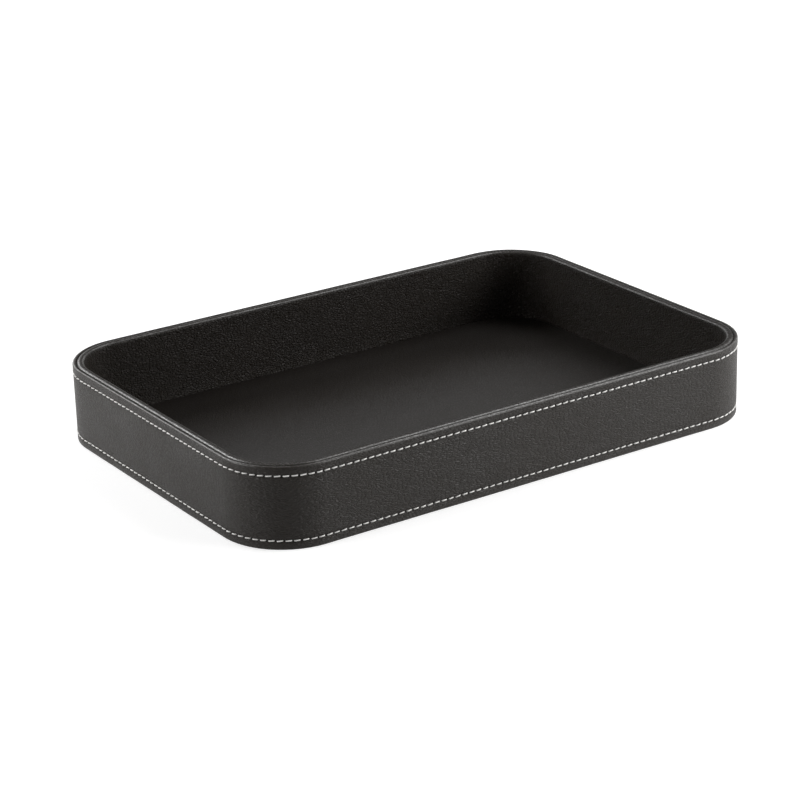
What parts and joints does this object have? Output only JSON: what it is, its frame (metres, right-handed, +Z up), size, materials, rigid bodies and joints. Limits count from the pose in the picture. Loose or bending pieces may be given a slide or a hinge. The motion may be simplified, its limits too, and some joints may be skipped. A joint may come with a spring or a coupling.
{
  "type": "tray",
  "caption": "Shallow rectangular tray with round corners, board walls covered in black leatherette and a stitched outer belt.",
  "frame": {"origin": "middle of the underside, on the surface the tray stands on", "axes": "+X along the tray's length, +Y across it, +Z up out of the open top"},
  "size_m": [0.3006, 0.2066, 0.0412],
  "materials": {
    "outer_leatherette": "smooth black leatherette with a fine low grain, satin",
    "lining_leatherette": "black leatherette with a pebbled grain, satin",
    "floor_leatherette": "smooth matt black leatherette",
    "underside": "matt black felt-like sheet",
    "thread": "twisted white polyester sewing thread",
    "board": "raw pressed fibre board",
    "card": "raw grey-brown card"
  },
  "bodies": {
    "root": {"belt_leather": "outer_leatherette", "belt_stiffener": "board", "belt_infill": "card", "top_row_needle_thread": "thread", "top_row_bobbin_thread": "thread", "bottom_row_needle_thread": "thread", "bottom_row_bobbin_thread": "thread", "frame_board": "board", "wall_lining": "lining_leatherette", "base_board": "board", "floor_card": "card", "floor_lining": "floor_leatherette", "underside_cover": "underside"}
  },
  "joints": []
}
